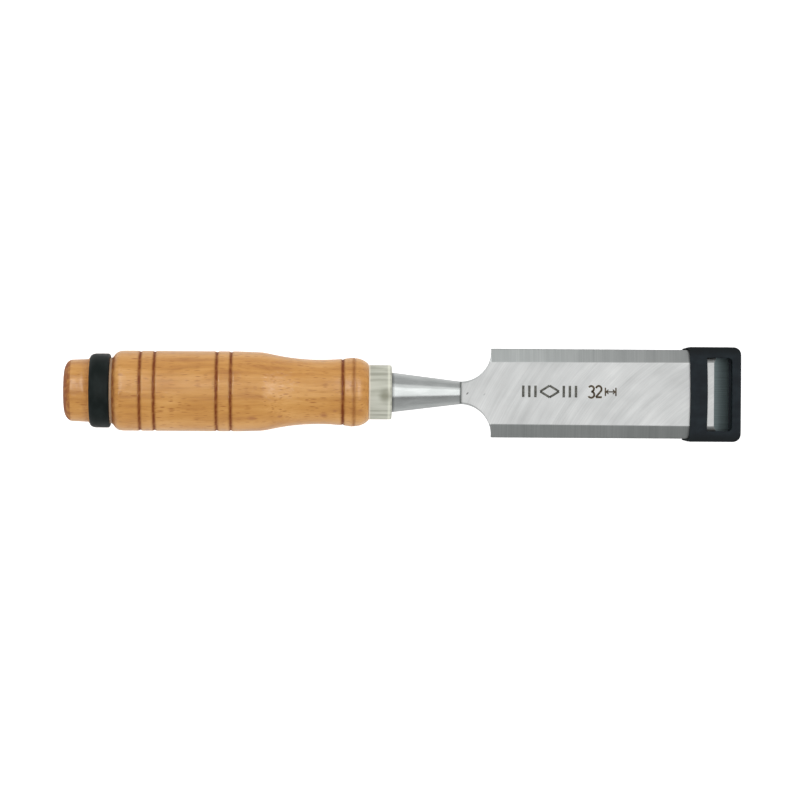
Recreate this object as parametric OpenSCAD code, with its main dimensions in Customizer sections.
// Bench chisel with a turned beech handle, a striking hoop, a drawn ferrule,
// a bevel-edged tang blade and a pull-off edge guard.
// Origin: centre of the butt's striking face. +X runs along the tool to the
// cutting edge, +Z out of the bevelled face, so the flat back faces -Z.

/* [Handle] */
// Radius of the barrel, the thickest part of the handle
barrel_r = 14.4; // [13:0.1:17]
// Radius of the spigot's bare end at the butt
spigot_r = 11.2; // [10:0.1:11.3]
// Radius of the spigot's seat, which the hoop is driven onto
seat_r = 11.75; // [11.7:0.05:12.2]
// Length of the spigot, from the striking face to the shoulder
spigot_l = 17.2; // [15:0.1:20]
// Radius of the flat middle of the striking face
strike_r = 6.5; // [4:0.1:8]
// Length over which the striking face rounds into the spigot
butt_round_l = 3.2; // [1.5:0.1:4]
// Radius at the narrowest point of the waist
waist_r = 11.45; // [10:0.05:12.5]
// Distance of the narrowest point of the waist from the striking face
waist_x = 91.9; // [88:0.1:95]
// Radius of the waist's long hollow curve
waist_curve_r = 79; // [60:1:100]
// Radius of the bead in front of the waist
bead_r = 12.24; // [11.5:0.02:13]
// Distance of the wood's front shoulder from the striking face
wood_l = 109.4; // [108.5:0.1:110.5]
// Depth of the scorched decorative grooves
groove_depth = 0.25; // [0.1:0.05:0.5]
// Width of the scorched decorative grooves
groove_w = 0.9; // [0.6:0.1:1.4]

/* [Hoop] */
// Outer radius of the striking hoop
hoop_r = 13.4; // [12.6:0.1:14.2]
// Distance of the hoop's back edge from the striking face
hoop_x = 8.6; // [7:0.1:9]
// Width of the hoop
hoop_w = 8.1; // [5:0.1:8.2]

/* [Ferrule] */
// Outer radius of the ferrule
ferrule_r = 9.78; // [9:0.01:9.8]
// Length of the ferrule
ferrule_l = 8.3; // [7:0.1:12]
// Wall of the drawn ferrule
ferrule_wall = 1.0; // [0.6:0.1:1.2]
// Radius of the hole for the tang in the ferrule's front lip
ferrule_hole_r = 4.5; // [4.4:0.1:5.5]

/* [Blade] */
// Width of the blade, which is the chisel's nominal size
blade_w = 32; // [28:1:38]
// Distance of the shoulders' corners from the striking face
shoulder_x = 153.5; // [152:0.1:156]
// Distance of the cutting edge from the striking face
edge_x = 239.4; // [220:0.1:260]
// Distance of the blade's flat back below the axis
back_z = 2.6; // [2:0.1:3.2]
// Height of the top flat above the axis at the shoulders
top_root_z = 2.0; // [1.6:0.1:2.6]
// Height of the top flat above the axis at the cutting bevel
top_tip_z = 1.0; // [0.6:0.1:1.5]
// Length of the cutting bevel, measured along the blade
cutting_bevel_l = 5.6; // [5:0.1:9]
// Width of a side bevel at the shoulders
side_bevel_root_w = 4.86; // [3:0.02:6]
// Width of a side bevel at the cutting bevel
side_bevel_tip_w = 4.54; // [3:0.02:6]
// Angle of the side bevels to the top flat
side_bevel_angle = 15.5; // [10:0.5:22]
// Radius of the concave shoulders
shoulder_r = 11; // [9:0.1:11.2]
// Radius of the neck where it bears on the ferrule
neck_root_r = 7.15; // [6:0.05:8]
// Radius of the neck where it meets the blade
neck_tip_r = 4.1; // [3.5:0.05:4.5]
// Length of the round neck
neck_l = 24.7; // [20:0.1:25]
// Length of the tang inside the handle
tang_l = 46; // [30:1:60]
// Side of the square tang at the neck
tang_root_w = 6; // [5:0.1:6.2]
// Side of the square tang at its end
tang_tip_w = 3; // [2:0.1:4]

/* [Edge guard] */
// Running clearance between the guard and the blade
guard_gap = 0.15; // [0.1:0.05:0.4]
// Thickness of the guard's side walls
guard_wall = 0.9; // [0.7:0.1:1.8]
// Thickness of the guard's back plate
guard_back = 1.4; // [1:0.1:2]
// Gap between the cutting edge and the guard's end wall
guard_edge_gap = 0.9; // [0.2:0.05:1.2]
// Length of the guard
guard_l = 20.7; // [18:0.1:26]
// Thickness of the end wall in front of the cutting edge
guard_end_wall = 3.1; // [2:0.1:4]
// Width of the strap that crosses the top of the blade
strap_w = 6.2; // [4:0.1:8]
// Distance of the strap behind the guard's back plate
strap_setback = 2.1; // [1:0.1:3]
// Height of the guard's top face above the axis
guard_top_z = 2.6; // [2.4:0.1:3.4]
// Width of the window over the cutting edge
window_w = 26.4; // [20:0.1:28]
// Radius of the guard's outer corners in plan
guard_corner_r = 2.8; // [1:0.1:3.2]

/* [Hidden] */
$fn = 96;
eps = 0.01;
arc_steps = 10;

// handle
shoulder_round = barrel_r - seat_r;
seat_x = hoop_x - 0.2;
barrel_end_x = 64;
barrel_soft_x = 71.2;
bead_x = 103.9;
bead_front_r = 7.5;
bead_back_x = 98.8;
bead_front_angle = asin((wood_l - bead_x) / bead_front_r);
waist_span = bead_back_x - barrel_soft_x;
waist_steps = 12;
tenon_r = ferrule_r - ferrule_wall;
ferrule_end_x = wood_l + ferrule_l;
tenon_end_x = ferrule_end_x - ferrule_wall;
groove_x = [27.5, 32.6, 54.9, 60.0];
bead_grooves = [[100, 11.94], [104, bead_r]];
groove_round = groove_w / 2;
hoop_back_round = [2.0, 1.5];
hoop_front_round = [1.0, 1.0];
ferrule_round = 0.6;

// blade
neck_end_x = ferrule_end_x + neck_l;
flat_l = edge_x - cutting_bevel_l - shoulder_x;
taper_angle = atan((top_root_z - top_tip_z) / flat_l);
bevel_turn = atan((side_bevel_root_w - side_bevel_tip_w) / flat_l);
plate_start_x = neck_end_x - 1.5;
plate_start_z = top_root_z + (shoulder_x - plate_start_x) * tan(taper_angle);
bevel_cut = [flat_l + 60, 20, 12];
bevel_lead = 30;
socket_spare_l = 1.5;
step_l = 0.9;
under_step_l = 5;

// edge guard
guard_x = edge_x + guard_edge_gap + guard_end_wall - guard_l;
guard_end_x = guard_x + guard_l;
guard_side_y = blade_w / 2 + guard_gap;
guard_out_y = guard_side_y + guard_wall;
guard_mouth_y = guard_side_y + guard_wall / 3;
pocket_under_z = back_z + guard_gap;
pocket_end_x = guard_end_x - guard_end_wall;
pocket_top_z = top_tip_z + (edge_x - cutting_bevel_l - guard_x) * tan(taper_angle) + guard_gap;
guard_under_z = pocket_under_z + guard_back;
strap_x = guard_x + strap_setback;
strap_edge = 0.4;
mouth_z = -back_z + 0.4;
window_x = strap_x + strap_w;

// Points of an elliptical arc about (cx, cy) with radii rx and ry, from angle a0 to a1.
function arc(cx, cy, rx, ry, a0, a1) = [
    for (i = [0:arc_steps])
        let (a = a0 + (a1 - a0) * i / arc_steps)
        [cx + rx * cos(a), cy + ry * sin(a)]
];

// Radius of the waist's hollow curve at a distance x along the handle.
function waist_radius(x) =
    waist_r + waist_curve_r - sqrt(pow(waist_curve_r, 2) - pow(x - waist_x, 2));

// Half of the tang's side at a distance x along the tool.
function tang_half(x) =
    tang_root_w / 2 - (ferrule_end_x - x) * (tang_root_w - tang_tip_w) / 2 / tang_l;

// Turns an outline of [radius, distance along the tool] about the X axis.
module turned(outline) {
    rotate([0, 90, 0]) rotate_extrude() polygon(outline);
}

// Ring-shaped cutter for one decorative groove, at distance x on radius r.
module groove(x, r) {
    rotate([0, 90, 0])
        rotate_extrude()
            translate([r + groove_round - groove_depth, x]) circle(r = groove_round, $fn = 24);
}

// Square taper of the tang, from distance x0 along the tool to the ferrule's face.
module tang_taper(x0) {
    side = [
        [x0, -tang_half(x0)],
        [ferrule_end_x, -tang_half(ferrule_end_x)],
        [ferrule_end_x, tang_half(ferrule_end_x)],
        [x0, tang_half(x0)]
    ];
    intersection() {
        translate([0, 0, -tang_root_w]) linear_extrude(2 * tang_root_w) polygon(side);
        rotate([90, 0, 0]) translate([0, 0, -tang_root_w]) linear_extrude(2 * tang_root_w) polygon(side);
    }
}

module handle() {
    outline = concat(
        [[0, 0]],
        arc(strike_r, butt_round_l, spigot_r - strike_r, butt_round_l, -90, 0),
        [[spigot_r, seat_x], [seat_r, seat_x]],
        arc(seat_r, spigot_l + shoulder_round, shoulder_round, shoulder_round, -90, 0),
        [[barrel_r, barrel_end_x]],
        [for (i = [0:waist_steps]) let (x = barrel_soft_x + i * waist_span / waist_steps) [waist_radius(x), x]],
        arc(bead_r - bead_front_r, bead_x, bead_front_r, bead_front_r, 0, bead_front_angle),
        [[tenon_r, wood_l], [tenon_r, tenon_end_x], [0, tenon_end_x]]
    );
    color("burlywood") difference() {
        turned(outline);
        for (x = groove_x) groove(x, barrel_r);
        for (groove_at = bead_grooves) groove(groove_at[0], groove_at[1]);
        tang_taper(ferrule_end_x - tang_l - socket_spare_l);
    }
}

module hoop() {
    front_x = hoop_x + hoop_w;
    outline = concat(
        [[seat_r, hoop_x]],
        arc(hoop_r - hoop_back_round[1], hoop_x + hoop_back_round[0],
            hoop_back_round[1], hoop_back_round[0], -90, 0),
        arc(hoop_r - hoop_front_round[1], front_x - hoop_front_round[0],
            hoop_front_round[1], hoop_front_round[0], 0, 90),
        [[seat_r, front_x]]
    );
    color("darkslategray") turned(outline);
}

module ferrule() {
    outline = concat(
        [[tenon_r, wood_l], [ferrule_r, wood_l]],
        arc(ferrule_r - ferrule_round, ferrule_end_x - ferrule_round, ferrule_round, ferrule_round, 0, 90),
        [[ferrule_hole_r, ferrule_end_x], [ferrule_hole_r, tenon_end_x], [tenon_r, tenon_end_x]]
    );
    color("lightgoldenrodyellow") turned(outline);
}

// Round neck, cut to a steep step above the blade and a long ramp below it.
module neck() {
    slope = (neck_root_r - neck_tip_r) / neck_l;
    end_r = neck_tip_r - slope * under_step_l;
    ramp = [
        [ferrule_end_x - 1, -neck_root_r - 1],
        [neck_end_x - 2, -neck_root_r - 1],
        [neck_end_x - 2, -neck_tip_r - slope * 2],
        [neck_end_x + under_step_l - 2, -back_z],
        [neck_end_x + under_step_l - 2, 0],
        [neck_end_x + step_l, top_root_z],
        [neck_end_x, neck_tip_r],
        [neck_end_x, neck_root_r + 1],
        [ferrule_end_x - 1, neck_root_r + 1]
    ];
    intersection() {
        translate([ferrule_end_x, 0, 0]) rotate([0, 90, 0])
            cylinder(r1 = neck_root_r, r2 = end_r, h = neck_l + under_step_l);
        rotate([90, 0, 0]) translate([0, 0, -neck_root_r - 1])
            linear_extrude(2 * neck_root_r + 2) polygon(ramp);
    }
}

// Cutter that leaves one side bevel on the +Y side of the blade.
module side_bevel_cut() {
    translate([shoulder_x, blade_w / 2 - side_bevel_root_w, top_root_z])
        rotate([0, taper_angle, bevel_turn]) rotate([-side_bevel_angle, 0, 0])
            translate([-bevel_lead, 0, 0]) cube(bevel_cut);
}

// What the shoulders leave of the plate: a round trumpet, then the full width.
module shoulder_form() {
    arc_x = shoulder_x - shoulder_r;
    rotate([0, 90, 0]) rotate_extrude() difference() {
        translate([0, plate_start_x]) square([blade_w, shoulder_x - plate_start_x]);
        translate([neck_tip_r + shoulder_r, arc_x]) circle(r = shoulder_r);
        translate([neck_tip_r, plate_start_x - 1]) square([blade_w, arc_x - plate_start_x + 1]);
    }
    translate([shoulder_x - eps, -blade_w, -blade_w]) cube([edge_x - shoulder_x + 1, 2 * blade_w, 2 * blade_w]);
}

// Flat blade: its side view at full width, less the shoulders and side bevels.
module plate() {
    side_view = [
        [plate_start_x, -back_z],
        [edge_x, -back_z],
        [edge_x - cutting_bevel_l, top_tip_z],
        [plate_start_x, plate_start_z]
    ];
    difference() {
        intersection() {
            rotate([90, 0, 0]) translate([0, 0, -blade_w / 2]) linear_extrude(blade_w) polygon(side_view);
            shoulder_form();
        }
        side_bevel_cut();
        mirror([0, 1, 0]) side_bevel_cut();
    }
}

module blade() {
    color("silver") union() {
        tang_taper(ferrule_end_x - tang_l);
        neck();
        plate();
    }
}

// Plan of the guard: side walls tapered at the mouth, corners rounded at the end.
module guard_plan() {
    r = guard_corner_r;
    polygon([
        [guard_x, -guard_mouth_y],
        [strap_x, -guard_out_y],
        [guard_end_x - r, -guard_out_y],
        [guard_end_x - r, guard_out_y],
        [strap_x, guard_out_y],
        [guard_x, guard_mouth_y]
    ]);
    translate([guard_end_x - r - 1, r - guard_out_y]) square([r + 1, 2 * (guard_out_y - r)]);
    for (side = [-1, 1]) translate([guard_end_x - r, side * (guard_out_y - r)]) circle(r = r);
}

module edge_guard() {
    mouth_slope = [
        [guard_x - 1, mouth_z],
        [guard_x, mouth_z],
        [strap_x, guard_top_z - strap_edge],
        [strap_x, guard_top_z + 1],
        [guard_x - 1, guard_top_z + 1]
    ];
    color("dimgray") difference() {
        translate([0, 0, -guard_under_z]) linear_extrude(guard_under_z + guard_top_z) guard_plan();
        translate([guard_x - 1, -guard_side_y, -pocket_under_z])
            cube([pocket_end_x - guard_x + 1, 2 * guard_side_y, pocket_under_z + pocket_top_z]);
        translate([window_x, -window_w / 2, 0])
            cube([pocket_end_x - window_x, window_w, guard_top_z + 1]);
        rotate([90, 0, 0]) translate([0, 0, -guard_out_y - 1])
            linear_extrude(2 * guard_out_y + 2) polygon(mouth_slope);
    }
}

blade();
handle();
ferrule();
hoop();
edge_guard();
